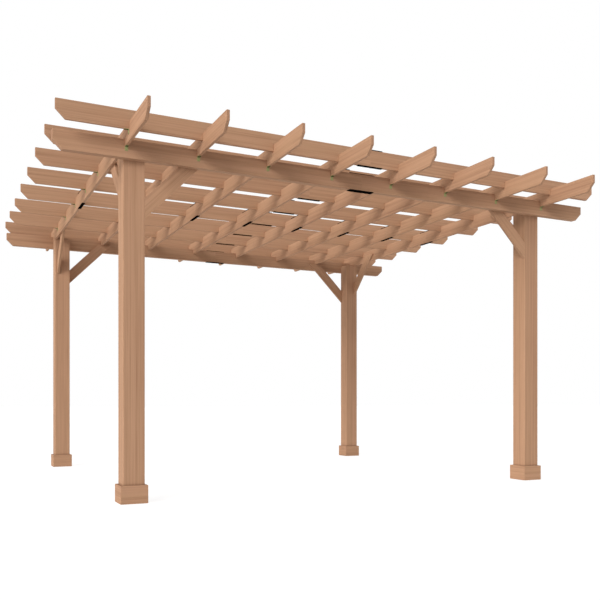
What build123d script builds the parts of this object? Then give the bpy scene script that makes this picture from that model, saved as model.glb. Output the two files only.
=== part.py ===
from build123d import *
import os
from math import cos, radians, sqrt, tan

os.makedirs("parts", exist_ok=True)

# Lengths are in millimetres and angles in degrees.
# X runs along the beams, Y along the rafters and Z up, with the ground at zero.

# Posts, on a rectangular plan, with a skirt of mitred boards round each foot.
post_side = 138.0
post_spacing_x = 3267.0
post_spacing_y = 2954.0
trim_thickness = 18.0
trim_height = 115.0

# Roof boards, on edge, with their lower end corners cut off.
beam_length = 4268.0
rafter_length = 4290.0
purlin_length = 4268.0
end_chamfer = 58.0
beam_underside = 2159.0
beam_thickness = 47.0
beam_height = 117.0
rafter_thickness = 20.0
rafter_height = 117.0
purlin_thickness = 20.0
purlin_height = 117.0

# Laps: rafters drop over the beams, and purlins over the rafters.
rafter_lap = 46.0
purlin_lap = 48.0
lap_clearance = 0.3

# Layout of the roof. The outer rafters stand flush with the outer faces of the posts.
rafter_pitch = 490.0
inner_rafter_count = 6
outer_purlin_spacing = 3403.0
purlin_pitch = 493.5
inner_purlin_count = 6

# Knee braces.
brace_width = 93.0
brace_thickness = 20.0
beam_brace_drop = 354.0
rafter_brace_drop = 343.0
brace_angle = 45.0

# Steel straps over the joint in the middle of every roof board.
joint_gap = 0.5
strap_length = 200.0
strap_thickness = 4.0

# Small steel angles under the crossings.
angle_leg = 28.0
angle_width = 20.0
angle_thickness = 2.5

# How far cuts run past the faces that they open.
cut_overrun = 10.0

# Heights and places that follow from the sizes above.
rafter_underside = beam_underside + beam_height - rafter_lap
purlin_underside = rafter_underside + rafter_height - purlin_lap
post_x = post_spacing_x / 2
post_y = post_spacing_y / 2
beam_inner_y = post_y + post_side / 2
beam_y = beam_inner_y + beam_thickness / 2
beam_outer_y = beam_inner_y + beam_thickness
outer_rafter_face_x = post_x + post_side / 2
outer_rafter_x = outer_rafter_face_x - rafter_thickness / 2
outer_purlin_y = outer_purlin_spacing / 2


def spread(count, pitch):
    """Places of evenly pitched pieces about zero, lowest first."""
    return [(index - (count - 1) / 2) * pitch for index in range(count)]


rafter_places = [-outer_rafter_x] + spread(inner_rafter_count, rafter_pitch) + [outer_rafter_x]
purlin_places = [-outer_purlin_y] + spread(inner_purlin_count, purlin_pitch) + [outer_purlin_y]
sides_x = {"left": -1, "right": 1}
sides_y = {"front": -1, "rear": 1}


def save(name, shapes):
    """Write the solids of one named node."""
    solids = [solid for shape in shapes for solid in shape.solids()]
    export_step(Compound(children=solids), os.path.join("parts", name + ".step"))


def roof_board(length, height, thickness, lap, crossings, crossing_width):
    """A long board on edge along X with its underside on zero: two halves that butt at the middle.

    The underside is notched where the board drops over the crossing pieces.
    """
    half_length = length / 2
    notch_width = crossing_width + 2 * lap_clearance
    corners = [
        (joint_gap / 2, 0),
        (half_length - end_chamfer, 0),
        (half_length, end_chamfer),
        (half_length, height),
        (joint_gap / 2, height),
    ]
    profile = make_face(Polyline(*corners, close=True))
    for place in crossings:
        if place > 0:
            notch = Rectangle(notch_width, lap + cut_overrun)
            profile -= Pos(place, (lap - cut_overrun) / 2) * notch
    half = extrude(Plane.XZ * profile, amount=thickness / 2, both=True)
    return [half, mirror(half, Plane.YZ)]


def straps(height, width):
    """The two steel straps over a roof board's middle joint, on its top and bottom edges."""
    strap = Box(strap_length, width, strap_thickness)
    offset = strap_thickness / 2
    return [Pos(0, 0, height + offset) * strap, Pos(0, 0, -offset) * strap]


def knee_brace(drop, lap):
    """A brace that leaves a post face at X zero and rises along X beside the piece that it holds.

    Zero height is that piece's underside. The foot hangs a drop below it, and the level top end
    is a lap above it.
    """
    foot = -drop
    plumb_cut = brace_width / cos(radians(brace_angle))
    slope = tan(radians(brace_angle))
    outer_reach = (lap - foot) / slope
    inner_reach = (lap - foot - plumb_cut) / slope
    corners = [(0, foot), (outer_reach, lap), (inner_reach, lap), (0, foot + plumb_cut)]
    profile = make_face(Polyline(*corners, close=True))
    return extrude(Plane.XZ * profile, amount=brace_thickness / 2, both=True)


def steel_angle():
    """A bent steel angle: one leg runs out along X under a board, the other down a face at X zero."""
    corners = [
        (0, 0),
        (angle_leg, 0),
        (angle_leg, -angle_thickness),
        (angle_thickness, -angle_thickness),
        (angle_thickness, -angle_leg),
        (0, -angle_leg),
    ]
    profile = make_face(Polyline(*corners, close=True))
    return extrude(Plane.XZ * profile, amount=angle_width / 2, both=True)


def foot_trim():
    """Four mitred boards round a post's foot."""
    inner = post_side / 2
    outer = inner + trim_thickness
    setback = joint_gap / sqrt(2)
    corners = [
        (setback - inner, inner),
        (inner - setback, inner),
        (outer - setback, outer),
        (setback - outer, outer),
    ]
    board = extrude(make_face(Polyline(*corners, close=True)), amount=trim_height)
    quarter_turn = 90
    return [Rot(0, 0, turn * quarter_turn) * board for turn in range(4)]


# Posts stand from the ground to the underside of the rafters.
post = Pos(0, 0, rafter_underside / 2) * Box(post_side, post_side, rafter_underside)
for row, sign_y in sides_y.items():
    for side, sign_x in sides_x.items():
        corner = row + "_" + side
        place = Pos(sign_x * post_x, sign_y * post_y, 0)
        save("post_" + corner, [place * post])
        save("base_trim_" + corner, [place * board for board in foot_trim()])

# Beams are fixed to the outer faces of the posts.
beam = roof_board(beam_length, beam_height, beam_thickness, 0, [], 0)
beam_straps = straps(beam_height, beam_thickness)
all_beam_straps = []
for row, sign_y in sides_y.items():
    place = Pos(0, sign_y * beam_y, beam_underside)
    save("beam_" + row, [place * half for half in beam])
    all_beam_straps += [place * strap for strap in beam_straps]
save("beam_splice_straps", all_beam_straps)

# Rafters run across the beams.
rafter = roof_board(
    rafter_length, rafter_height, rafter_thickness, rafter_lap, [-beam_y, beam_y], beam_thickness
)
rafter_straps = straps(rafter_height, rafter_thickness)
all_rafter_straps = []
for number, x in enumerate(rafter_places, start=1):
    place = Pos(x, 0, rafter_underside) * Rot(0, 0, 90)
    save("rafter_" + str(number), [place * half for half in rafter])
    all_rafter_straps += [place * strap for strap in rafter_straps]
save("rafter_splice_straps", all_rafter_straps)

# Purlins run across the rafters.
purlin = roof_board(
    purlin_length, purlin_height, purlin_thickness, purlin_lap, rafter_places, rafter_thickness
)
purlin_straps = straps(purlin_height, purlin_thickness)
all_purlin_straps = []
for number, y in enumerate(purlin_places, start=1):
    place = Pos(0, y, purlin_underside)
    save("purlin_" + str(number), [place * half for half in purlin])
    all_purlin_straps += [place * strap for strap in purlin_straps]
save("purlin_splice_straps", all_purlin_straps)

# Each post has a brace to its beam and a brace to its rafter, on their inner faces.
beam_brace = knee_brace(beam_brace_drop, rafter_underside - beam_underside)
rafter_brace = knee_brace(rafter_brace_drop, purlin_underside - rafter_underside)
beam_brace_y = beam_inner_y - brace_thickness / 2
rafter_brace_x = outer_rafter_x - rafter_thickness / 2 - brace_thickness / 2
post_inner_x = post_x - post_side / 2
post_inner_y = post_y - post_side / 2
for row, sign_y in sides_y.items():
    for side, sign_x in sides_x.items():
        corner = row + "_" + side
        inward_x = Rot(0, 0, 0 if sign_x < 0 else 180)
        inward_y = Rot(0, 0, -90 * sign_y)
        beam_place = Pos(sign_x * post_inner_x, sign_y * beam_brace_y, beam_underside)
        rafter_place = Pos(sign_x * rafter_brace_x, sign_y * post_inner_y, rafter_underside)
        save("beam_brace_" + corner, [beam_place * inward_x * beam_brace])
        save("rafter_brace_" + corner, [rafter_place * inward_y * rafter_brace])

# Steel angles: under every rafter on the outer face of each beam.
bracket = steel_angle()
for row, sign_y in sides_y.items():
    outward = Rot(0, 0, 90 * sign_y)
    places = [Pos(x, sign_y * beam_outer_y, rafter_underside) * outward for x in rafter_places]
    save("beam_angles_" + row, [place * bracket for place in places])

# Steel angles: under every purlin on the outer face of each outer rafter.
for side, sign_x in sides_x.items():
    outward = Rot(0, 0, 180 if sign_x < 0 else 0)
    places = [Pos(sign_x * outer_rafter_face_x, y, purlin_underside) * outward for y in purlin_places]
    save("purlin_angles_" + side, [place * bracket for place in places])
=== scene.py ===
import math

import bmesh
import bpy
from mathutils import Matrix, Vector


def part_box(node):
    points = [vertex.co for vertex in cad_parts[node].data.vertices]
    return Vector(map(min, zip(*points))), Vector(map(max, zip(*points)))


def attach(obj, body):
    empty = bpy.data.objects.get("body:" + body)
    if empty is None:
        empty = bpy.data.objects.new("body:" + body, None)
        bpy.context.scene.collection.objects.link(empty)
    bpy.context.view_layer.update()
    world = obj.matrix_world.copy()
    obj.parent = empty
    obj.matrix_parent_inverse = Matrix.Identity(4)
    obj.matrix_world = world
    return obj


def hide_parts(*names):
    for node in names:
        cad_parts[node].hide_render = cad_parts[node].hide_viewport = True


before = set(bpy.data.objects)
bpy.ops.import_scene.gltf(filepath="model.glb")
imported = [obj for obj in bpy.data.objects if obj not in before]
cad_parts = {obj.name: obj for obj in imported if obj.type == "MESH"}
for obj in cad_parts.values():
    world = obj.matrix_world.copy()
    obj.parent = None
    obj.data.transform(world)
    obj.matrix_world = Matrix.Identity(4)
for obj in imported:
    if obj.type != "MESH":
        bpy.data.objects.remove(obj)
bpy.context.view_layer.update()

# Lengths are in metres, angles in degrees, and colours are linear red, green and blue.
# X runs along the beams, Y along the rafters and Z up, as in the frame.
quarter_turn = 90.0
half_turn = 180.0
diagonal_share = math.sqrt(0.5)
middle_share = 0.5
white = (1.0, 1.0, 1.0)

# Camera, fitted to the outline in the photograph. It is level, and the lens is shifted up to the roof.
image_px = 600
focal_px = 754.70
horizon_px = 399.85
camera_place = (-2.7662, -6.2842, 0.6547)
camera_turn = 25.846
sensor_mm = 36.0

# Timber colours. Rounded edges have the same colours with a gain.
timber_pale = (0.520, 0.298, 0.187)
timber_body = (0.442, 0.245, 0.150)
timber_yellow = (0.438, 0.256, 0.146)
timber_dark = (0.325, 0.170, 0.100)
timber_end = (0.350, 0.188, 0.113)
edge_gain_share = 1.08

# Timber grain. A scale is in repeats per metre, first along the grain and then across it.
fibre_scale = (3.0, 300.0, 300.0)
streak_scale = (0.7, 70.0, 70.0)
band_scale = (0.3, 11.0, 11.0)
fibre_detail = 3.0
streak_detail = 3.0
band_detail = 1.0
fibre_share = 0.95
streak_share = 1.12
band_share = 0.3
board_share = 0.1
half_board_shift = (0.0, 3.7, 1.9)
ring_scale = 55.0
ring_distortion = 1.5
ring_detail = 2.0
end_grain_shares = (0.6, 0.95)

# Timber surface: roughness over a range of the fibres, and a painted contact shade on the posts just above
# their trims.
fibre_range_shares = (0.25, 0.75)
timber_roughness = (0.78, 0.62)
timber_gloss = 0.12
timber_bump_depth = 0.0006
timber_bump_share = 0.25
# Painted contact shade on the posts above the trims: its darkness and its height.
post_foot_shade_share = 0.72
post_foot_shade_depth = 0.014

# Rounded edges of the frame's pieces.
post_arris = 0.003
board_arris = 0.0018
steel_arris = 0.0005
arris_steps = 2
arris_angle = 30.0
weld_reach = 0.00001

# Steel. The painted underside shade comes in between two heights of a face's normal.
black_body = (0.002, 0.002, 0.002)
black_worn = (0.006, 0.006, 0.006)
black_rubbed = (0.03, 0.03, 0.03)
black_gloss = 0.0
black_roughness = 0.5
black_edge_roughness = 0.45
green_body = (0.328, 0.328, 0.138)
green_worn = (0.372, 0.372, 0.176)
# Painted shade on the downward faces of the green angles.
green_underside_shade = (0.090, 0.098, 0.039)
green_gloss = 0.01
green_roughness = 0.55
green_edge_roughness = 0.5
underside_shade_range = (-0.3, -0.8)
mottle_scale = (60.0, 60.0, 60.0)
mottle_detail = 4.0
mottle_range_shares = (0.3, 0.7)
roughness_swing = 0.08
peel_scale = (900.0, 900.0, 900.0)
peel_detail = 2.0
peel_depth = 0.0002
peel_share = 0.2

# Plates over the joints, let a little way into the boards.
# With their screw heads they stand out as far as the frame's straps.
plate_share = 0.92
plate_overhang = 0.0022
plate_sink = 0.001
plate_corner = 0.003
plate_corner_steps = 5
plate_chamfer = 0.0006
plate_screw_shares = (-0.4, -0.2, 0.2, 0.4)

# Screw heads. Their profile gives radius and height, from the rim over the crown into the drive socket.
screw_radius = 0.0042
screw_sides = 16
screw_profile_shares = ((1.0, 0.0), (1.0, 0.35), (0.82, 0.85), (0.5, 1.0), (0.36, 0.97), (0.3, 0.35))
angle_thickness = 0.0025
angle_screw_height = 0.0016
angle_screw_share = 0.6

# Light: a surround with a dimmer ceiling, a floor that gives back a little light, and soft lamps far away.
# A lamp's strength is its light on a face square to it.
surround_side = 0.159
surround_ceiling = 0.061
ceiling_start = 0.45
ceiling_full = 0.75
backdrop_strength = 1.0
lamps = {
    "key_front_left": {"azimuth": 218.0, "elevation": 21.0, "spread": 34.0, "strength": 2.43},
    "fill_left": {"azimuth": 175.0, "elevation": 18.0, "spread": 40.0, "strength": 1.08},
    "fill_front": {"azimuth": 255.0, "elevation": 5.0, "spread": 40.0, "strength": 0.35},
    "fill_right": {"azimuth": 340.0, "elevation": 15.0, "spread": 50.0, "strength": 0.73},
    "fill_rear": {"azimuth": 65.0, "elevation": 20.0, "spread": 50.0, "strength": 1.2},
}
floor_half_width = 60.0
floor_light = 0.13
floor_glow = 0.86
floor_pale = (0.8, 0.8, 0.8)
floor_shown = (0.3, 0.3, 0.3)


def opaque(colour):
    """A colour with full cover."""
    return (*colour, 1.0)


def gained(colour, gain_share):
    """A colour times a gain, at most white."""
    return tuple(min(1.0, part * gain_share) for part in colour)


def new_material(name):
    """A new node material, with its tree and its main shader."""
    material = bpy.data.materials.new(name)
    material.use_nodes = True
    tree = material.node_tree
    return material, tree, tree.nodes["Principled BSDF"]


def fill(tree, socket, value):
    """Link a socket to another one, or give it a constant value."""
    if isinstance(value, bpy.types.NodeSocket):
        tree.links.new(value, socket)
    else:
        socket.default_value = value


def add(tree, kind, *values, **settings):
    """Add a shader node. Values fill its inputs in order, as sockets, numbers or None to skip one."""
    made = tree.nodes.new("ShaderNode" + kind)
    for key, value in settings.items():
        setattr(made, key, value)
    for socket, value in zip(made.inputs, values):
        if value is not None:
            fill(tree, socket, value)
    return made


def calc(tree, operation, *values):
    """The output of a math node."""
    return add(tree, "Math", *values, operation=operation).outputs[0]


def stretched_noise(tree, place, scale, detail):
    """Noise between zero and one, at its own scale along each axis."""
    spread = add(tree, "VectorMath", place, scale, operation="MULTIPLY").outputs[0]
    noise = add(tree, "TexNoise", spread)
    noise.inputs["Scale"].default_value = 1.0
    noise.inputs["Detail"].default_value = detail
    return noise.outputs[0]


def tone_ramp(tree, factor, colours):
    """Colours spread evenly over a factor from zero to one."""
    ramp = add(tree, "ValToRGB", factor)
    stops = ramp.color_ramp.elements
    while len(stops) < len(colours):
        stops.new(1.0)
    for index, colour in enumerate(colours):
        stops[index].position = index / (len(colours) - 1)
        stops[index].color = opaque(colour)
    return ramp.outputs[0]


def mixed(tree, factor, first, second):
    """Two colours mixed by a factor. The node has its colours in the inputs numbered 6 and 7."""
    mix = add(tree, "Mix", factor, data_type="RGBA")
    fill(tree, mix.inputs[6], first)
    fill(tree, mix.inputs[7], second)
    return mix.outputs[2]


def add_bump(tree, shader, height, share, depth):
    """Raise a shader's surface by a pattern."""
    bump = add(tree, "Bump")
    bump.inputs["Strength"].default_value = share
    bump.inputs["Distance"].default_value = depth
    tree.links.new(height, bump.inputs["Height"])
    tree.links.new(bump.outputs[0], shader.inputs["Normal"])


def ring_place(tree, place):
    """Coordinates for boards in a square ring, with X along each board.

    The side boards, which run along Y, have X and Y swapped.
    """
    spot = add(tree, "SeparateXYZ", add(tree, "TexCoord").outputs["Generated"]).outputs
    off_x, off_y = (
        calc(tree, "ABSOLUTE", calc(tree, "SUBTRACT", spot[axis], middle_share)) for axis in (0, 1)
    )
    side_board = calc(tree, "GREATER_THAN", off_x, off_y)
    plain = add(tree, "SeparateXYZ", place).outputs
    swapped = add(tree, "CombineXYZ", plain[1], plain[0], plain[2]).outputs[0]
    return add(tree, "Mix", side_board, None, None, None, place, swapped, data_type="VECTOR").outputs[1]


def grain_place(tree, place, along):
    """Coordinates with X along the grain. The halves of a spliced board are cut from different places."""
    turn = Vector(along).rotation_difference(Vector((1, 0, 0))).to_euler()
    turned = add(tree, "Mapping", place, None, turn).outputs[0]
    reach = add(tree, "SeparateXYZ", turned).outputs[0]
    half = calc(tree, "GREATER_THAN", reach, 0.0)
    return add(tree, "VectorMath", half_board_shift, half, turned, operation="MULTIPLY_ADD").outputs[0]


def growth_rings(tree, grain, ring, between):
    """The colour of end grain."""
    rings = add(tree, "TexWave", grain, wave_type="RINGS", rings_direction="X")
    rings.inputs["Scale"].default_value = ring_scale
    rings.inputs["Distortion"].default_value = ring_distortion
    rings.inputs["Detail"].default_value = ring_detail
    return tone_ramp(tree, rings.outputs[1], [ring, between])


def across_grain(tree, along):
    """One on faces across the grain and zero on faces along it."""
    normal = add(tree, "NewGeometry").outputs["Normal"]
    facing = add(tree, "VectorMath", normal, tuple(along), operation="DOT_PRODUCT").outputs["Value"]
    return add(tree, "MapRange", calc(tree, "ABSOLUTE", facing), *end_grain_shares).outputs[0]


def timber(name, along, gain_share=1.0, in_ring=False, joint_height=None):
    """Stained softwood with its grain along one direction, and end grain on faces across it.

    Boards in a ring are mitred and show no end grain. With a joint height, the timber gets a painted
    contact shade just above that height, where a trim meets it.
    """
    material, tree, shader = new_material(name)
    dark, body, yellow, pale, end = (
        gained(colour, gain_share)
        for colour in (timber_dark, timber_body, timber_yellow, timber_pale, timber_end)
    )
    place = add(tree, "TexCoord").outputs["Object"]
    if in_ring:
        place = ring_place(tree, place)
    grain = grain_place(tree, place, along)

    # Fine fibres, streaks and broad bands add up to a tone round one half, and each board has its own tone.
    fibre = stretched_noise(tree, grain, fibre_scale, fibre_detail)
    streak = stretched_noise(tree, grain, streak_scale, streak_detail)
    band = stretched_noise(tree, grain, band_scale, band_detail)
    board = add(tree, "ObjectInfo").outputs["Random"]
    patterns = ((fibre, fibre_share), (streak, streak_share), (band, band_share), (board, board_share))
    tone = (1.0 - sum(share for pattern, share in patterns)) / 2
    for pattern, share in patterns:
        tone = calc(tree, "MULTIPLY_ADD", pattern, share, tone)
    plain_face = tone_ramp(tree, tone, [dark, body, pale])
    yellow_face = tone_ramp(tree, tone, [dark, yellow, pale])
    face = mixed(tree, band, plain_face, yellow_face)
    # Painted contact shade: the face darkens just above the joint with the trim.
    if joint_height:
        height = add(tree, "SeparateXYZ", place).outputs[2]
        shade_top_height = joint_height + post_foot_shade_depth
        shade_factor = add(tree, "MapRange", height, joint_height, shade_top_height, post_foot_shade_share, 1.0).outputs[0]
        face = add(tree, "VectorMath", face, shade_factor, operation="MULTIPLY").outputs[0]
    if not in_ring:
        face = mixed(tree, across_grain(tree, along), face, growth_rings(tree, grain, end, body))
    tree.links.new(face, shader.inputs["Base Color"])

    roughness = add(tree, "MapRange", fibre, *fibre_range_shares, *timber_roughness).outputs[0]
    tree.links.new(roughness, shader.inputs["Roughness"])
    shader.inputs["Specular IOR Level"].default_value = timber_gloss
    add_bump(tree, shader, calc(tree, "ADD", fibre, streak), timber_bump_share, timber_bump_depth)
    return material


def coated_steel(name, body, worn, roughness, gloss, underside_shade=None):
    """Coated steel: a faintly mottled coat with a fine texture, which may have a painted shade on its
    downward faces.
    """
    material, tree, shader = new_material(name)
    place = add(tree, "TexCoord").outputs["Object"]
    mottle = stretched_noise(tree, place, mottle_scale, mottle_detail)
    coat = tone_ramp(tree, mottle, [body, body, worn])
    # Painted shade: faces that look down take a darker tone.
    if underside_shade:
        height = add(tree, "SeparateXYZ", add(tree, "NewGeometry").outputs["Normal"]).outputs[2]
        underside_shade_mask = add(tree, "MapRange", height, *underside_shade_range).outputs[0]
        coat = mixed(tree, underside_shade_mask, coat, opaque(underside_shade))
    tree.links.new(coat, shader.inputs["Base Color"])
    rough_range = (roughness - roughness_swing, roughness + roughness_swing)
    rough = add(tree, "MapRange", mottle, *mottle_range_shares, *rough_range).outputs[0]
    tree.links.new(rough, shader.inputs["Roughness"])
    shader.inputs["Specular IOR Level"].default_value = gloss
    peel = stretched_noise(tree, place, peel_scale, peel_detail)
    add_bump(tree, shader, peel, peel_share, peel_depth)
    return material


def soften_edges(piece, width):
    """Round the edges of a piece of the frame, with the rounded strips in its second material slot."""
    weld = piece.modifiers.new("weld", "WELD")
    weld.merge_threshold = weld_reach
    bevel = piece.modifiers.new("arris", "BEVEL")
    bevel.width = width
    bevel.segments = arris_steps
    bevel.limit_method = "ANGLE"
    bevel.angle_limit = math.radians(arris_angle)
    bevel.material = 1


def dress(node, body, edge, width):
    """Give a piece of the frame its materials and soft edges."""
    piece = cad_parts[node]
    piece.data.materials.clear()
    piece.data.materials.append(body)
    piece.data.materials.append(edge)
    soften_edges(piece, width)


directions = {
    "along_x": (1, 0, 0),
    "along_y": (0, 1, 0),
    "along_z": (0, 0, 1),
    "up_x": (diagonal_share, 0, diagonal_share),
    "down_x": (diagonal_share, 0, -diagonal_share),
    "up_y": (0, diagonal_share, diagonal_share),
    "down_y": (0, diagonal_share, -diagonal_share),
    "in_ring": (1, 0, 0),
}
trim_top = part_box("base_trim_front_left")[1].z
extras = {"along_z": {"joint_height": trim_top}, "in_ring": {"in_ring": True}}
faces = {}
edges = {}
for key, along in directions.items():
    extra = extras.get(key, {})
    faces[key] = timber("timber_" + key, along, **extra)
    edges[key] = timber("timber_edge_" + key, along, edge_gain_share, **extra)
black = coated_steel("black_steel", black_body, black_worn, black_roughness, black_gloss)
black_edge = coated_steel("black_steel_edge", black_worn, black_rubbed, black_edge_roughness, black_gloss)
green = coated_steel("green_steel", green_body, green_worn, green_roughness, green_gloss, green_underside_shade)
green_edge = coated_steel(
    "green_steel_edge", green_worn, green_worn, green_edge_roughness, green_gloss, green_underside_shade
)


def grain_of(node):
    """The direction in which a timber piece's grain runs."""
    if node.startswith(("beam_brace", "rafter_brace")):
        axis = "x" if node.startswith("beam") else "y"
        rising_sides = ("_left",) if axis == "x" else ("front_left", "front_right")
        return ("up_" if node.endswith(rising_sides) else "down_") + axis
    if node.startswith("post"):
        return "along_z"
    if node.startswith("base_trim"):
        return "in_ring"
    return "along_y" if node.startswith("rafter") else "along_x"


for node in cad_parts:
    if "angles" in node:
        dress(node, green, green_edge, steel_arris)
    elif "straps" not in node:
        grain = grain_of(node)
        dress(node, faces[grain], edges[grain], post_arris if node.startswith("post") else board_arris)


def rounded_outline(length, width, radius, inset):
    """The corners of a rounded rectangle about zero, drawn in by an inset."""
    points = []
    for quarter in range(4):
        sign_x = 1 if quarter in (0, 3) else -1
        sign_y = 1 if quarter in (0, 1) else -1
        for step in range(plate_corner_steps):
            turn = math.radians(quarter_turn) * (quarter + step / (plate_corner_steps - 1))
            x = sign_x * (length / 2 - radius) + (radius - inset) * math.cos(turn)
            y = sign_y * (width / 2 - radius) + (radius - inset) * math.sin(turn)
            points.append((x, y))
    return points


def skin_rings(mesh, rings, place):
    """Join rings of points with faces, and close the first and the last ring.

    It gives back the bands of faces between the rings.
    """
    made = [[mesh.verts.new(place @ Vector(point)) for point in ring] for ring in rings]
    count = len(made[0])
    bands = []
    for lower, upper in zip(made, made[1:]):
        band = []
        for index in range(count):
            after = (index + 1) % count
            band.append(mesh.faces.new((lower[index], lower[after], upper[after], upper[index])))
        bands.append(band)
    mesh.faces.new(list(reversed(made[0])))
    mesh.faces.new(made[-1])
    return bands


def add_plate(mesh, place, length, width, thickness):
    """A steel plate on zero and a little below it, with round corners and a rubbed chamfer on top."""
    levels = ((-plate_sink, 0.0), (thickness - plate_chamfer, 0.0), (thickness, plate_chamfer))
    rings = []
    for height, inset in levels:
        outline = rounded_outline(length, width, plate_corner, inset)
        rings.append([(x, y, height) for x, y in outline])
    for face in skin_rings(mesh, rings, place)[-1]:
        face.material_index = 1


def add_screw(mesh, place, height):
    """A low round screw head that stands on zero, with a drive socket in its top and a rubbed crown."""
    turns = [2 * math.pi * side / screw_sides for side in range(screw_sides)]
    rings = []
    for radius_share, height_share in screw_profile_shares:
        radius = screw_radius * radius_share
        level = height * height_share
        rings.append([(radius * math.cos(turn), radius * math.sin(turn), level) for turn in turns])
    for band in skin_rings(mesh, rings, place)[:-1]:
        for face in band:
            face.material_index = 1


def finish_piece(name, mesh, materials):
    """Turn a built mesh into a piece of the object."""
    data = bpy.data.meshes.new(name)
    mesh.to_mesh(data)
    mesh.free()
    for material in materials:
        data.materials.append(material)
    piece = bpy.data.objects.new(name, data)
    bpy.context.scene.collection.objects.link(piece)
    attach(piece, "root")
    return piece


def nodes_named(prefix):
    """The roof boards whose names start with a prefix, in order."""
    wanted = [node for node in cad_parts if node.startswith(prefix)]
    return sorted(node for node in wanted if not any(word in node for word in ("brace", "straps", "angles")))


def splice_plates(family, strap_node, turn, overhang):
    """Plates with screws over the middle joints of one family of boards, in place of the plain straps.

    The turn is from X to the boards' direction.
    """
    strap_low, strap_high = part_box(strap_node)
    along = 1 if turn else 0
    across = 1 - along
    length = (strap_high - strap_low)[along]
    mesh = bmesh.new()
    for node in nodes_named(family):
        low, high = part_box(node)
        middle = (low + high) / 2
        width = (high - low)[across] + 2 * overhang
        room = strap_high.z - high.z
        plate = room * plate_share
        for level, roll in ((high.z, 0.0), (low.z, half_turn)):
            lie = Matrix.Rotation(math.radians(turn), 4, "Z") @ Matrix.Rotation(math.radians(roll), 4, "X")
            place = Matrix.Translation((middle.x, middle.y, level)) @ lie
            add_plate(mesh, place, length, width, plate)
            for share in plate_screw_shares:
                add_screw(mesh, place @ Matrix.Translation((share * length, 0, plate)), room - plate)
    piece = finish_piece(family + "plates_with_screws", mesh, [black, black_edge])
    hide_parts(strap_node)


splice_plates("beam_", "beam_splice_straps", 0.0, 0.0)
splice_plates("rafter_", "rafter_splice_straps", quarter_turn, plate_overhang)
splice_plates("purlin_", "purlin_splice_straps", 0.0, plate_overhang)


def angle_screws():
    """One screw in each leg of every steel angle."""
    mesh = bmesh.new()
    down = Matrix.Rotation(math.radians(half_turn), 4, "X")
    runs = (
        ("beam_angles_front", "rafter_", Vector((0, -1, 0))),
        ("beam_angles_rear", "rafter_", Vector((0, 1, 0))),
        ("purlin_angles_left", "purlin_", Vector((-1, 0, 0))),
        ("purlin_angles_right", "purlin_", Vector((1, 0, 0))),
    )
    for node, boards, outward in runs:
        low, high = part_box(node)
        leg = high.z - low.z
        corner = low if sum(outward) > 0 else high
        upright = outward.to_track_quat("Z", "Y").to_matrix().to_4x4()
        for board in nodes_named(boards):
            board_low, board_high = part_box(board)
            middle = (board_low + board_high) / 2
            heel = Vector((middle.x if outward.y else corner.x, corner.y if outward.y else middle.y, high.z))
            on_face = heel + outward * angle_thickness - Vector((0, 0, leg * angle_screw_share))
            on_underside = heel + outward * (leg * angle_screw_share) - Vector((0, 0, angle_thickness))
            add_screw(mesh, Matrix.Translation(on_face) @ upright, angle_screw_height)
            add_screw(mesh, Matrix.Translation(on_underside) @ down, angle_screw_height)
    finish_piece("angle_screws", mesh, [green, green_edge])


angle_screws()


def seen_directly(tree):
    """One for rays from the camera or by way of gloss or glass, and zero for light on the object."""
    path = add(tree, "LightPath").outputs
    bright = calc(tree, "MAXIMUM", path["Is Camera Ray"], path["Is Glossy Ray"])
    return calc(tree, "MAXIMUM", bright, path["Is Transmission Ray"])


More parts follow.
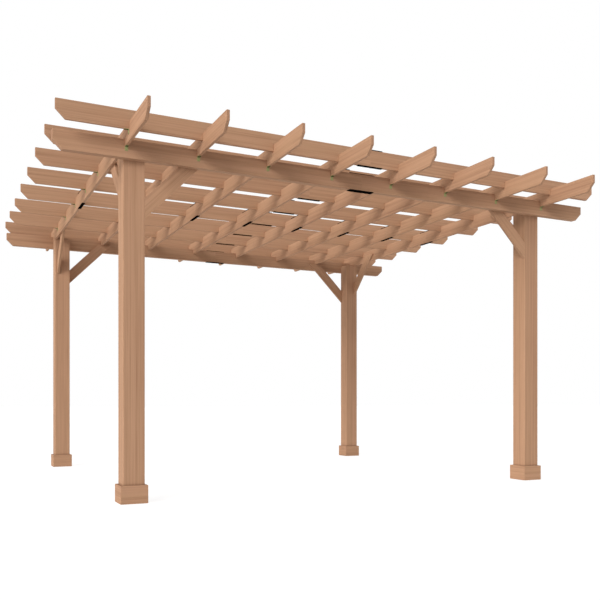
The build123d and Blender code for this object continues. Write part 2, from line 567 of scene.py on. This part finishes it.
def add_surround():
    """A white backdrop that lights the object softly, mostly from the sides."""
    world = bpy.data.worlds.new("surround")
    bpy.context.scene.world = world
    world.use_nodes = True
    tree = world.node_tree
    light = tree.nodes["Background"]
    light.inputs["Color"].default_value = opaque(white)
    height = add(tree, "SeparateXYZ", add(tree, "TexCoord").outputs["Generated"]).outputs[2]
    fall = add(tree, "MapRange", height, ceiling_start, ceiling_full, surround_side, surround_ceiling)
    tree.links.new(fall.outputs[0], light.inputs["Strength"])
    backdrop = add(tree, "Background", opaque(white), backdrop_strength)
    mix = add(tree, "MixShader", seen_directly(tree), light.outputs[0], backdrop.outputs[0])
    tree.links.new(mix.outputs[0], tree.nodes["World Output"].inputs["Surface"])


def add_floor():
    """A pale floor that shows white to the camera, apart from the object's soft shadow."""
    mesh = bmesh.new()
    bmesh.ops.create_grid(mesh, x_segments=1, y_segments=1, size=floor_half_width)
    data = bpy.data.meshes.new("floor")
    mesh.to_mesh(data)
    mesh.free()
    floor = bpy.data.objects.new("floor", data)
    bpy.context.scene.collection.objects.link(floor)
    material, tree, shader = new_material("floor")
    tree.nodes.remove(shader)
    seen = seen_directly(tree)
    matt = add(tree, "BsdfDiffuse", mixed(tree, seen, opaque(floor_pale), opaque(floor_shown)))
    strength = add(tree, "MapRange", seen, 0.0, 1.0, floor_light, floor_glow).outputs[0]
    glow = add(tree, "Emission", opaque(white), strength)
    both = add(tree, "AddShader", matt.outputs[0], glow.outputs[0])
    tree.links.new(both.outputs[0], tree.nodes["Material Output"].inputs["Surface"])
    data.materials.append(material)


def add_lamp(name, azimuth, elevation, spread, strength):
    """A soft lamp far away. Azimuth is its bearing from the object, turned from X towards Y."""
    data = bpy.data.lights.new(name, "SUN")
    data.energy = strength
    data.angle = math.radians(spread)
    lamp = bpy.data.objects.new(name, data)
    tilt = math.radians(quarter_turn - elevation)
    lamp.rotation_euler = (tilt, 0, math.radians(azimuth + quarter_turn))
    bpy.context.scene.collection.objects.link(lamp)


def add_camera():
    """The photograph's camera."""
    data = bpy.data.cameras.new("camera")
    data.sensor_width = sensor_mm
    data.lens = focal_px / image_px * sensor_mm
    data.shift_y = (horizon_px - image_px / 2) / image_px
    camera = bpy.data.objects.new("camera", data)
    camera.location = camera_place
    camera.rotation_euler = (math.radians(quarter_turn), 0, -math.radians(camera_turn))
    bpy.context.scene.collection.objects.link(camera)
    bpy.context.scene.camera = camera


add_surround()
add_floor()
for lamp_name, values in lamps.items():
    add_lamp(lamp_name, **values)
add_camera()
bpy.context.scene.view_settings.view_transform = "Standard"
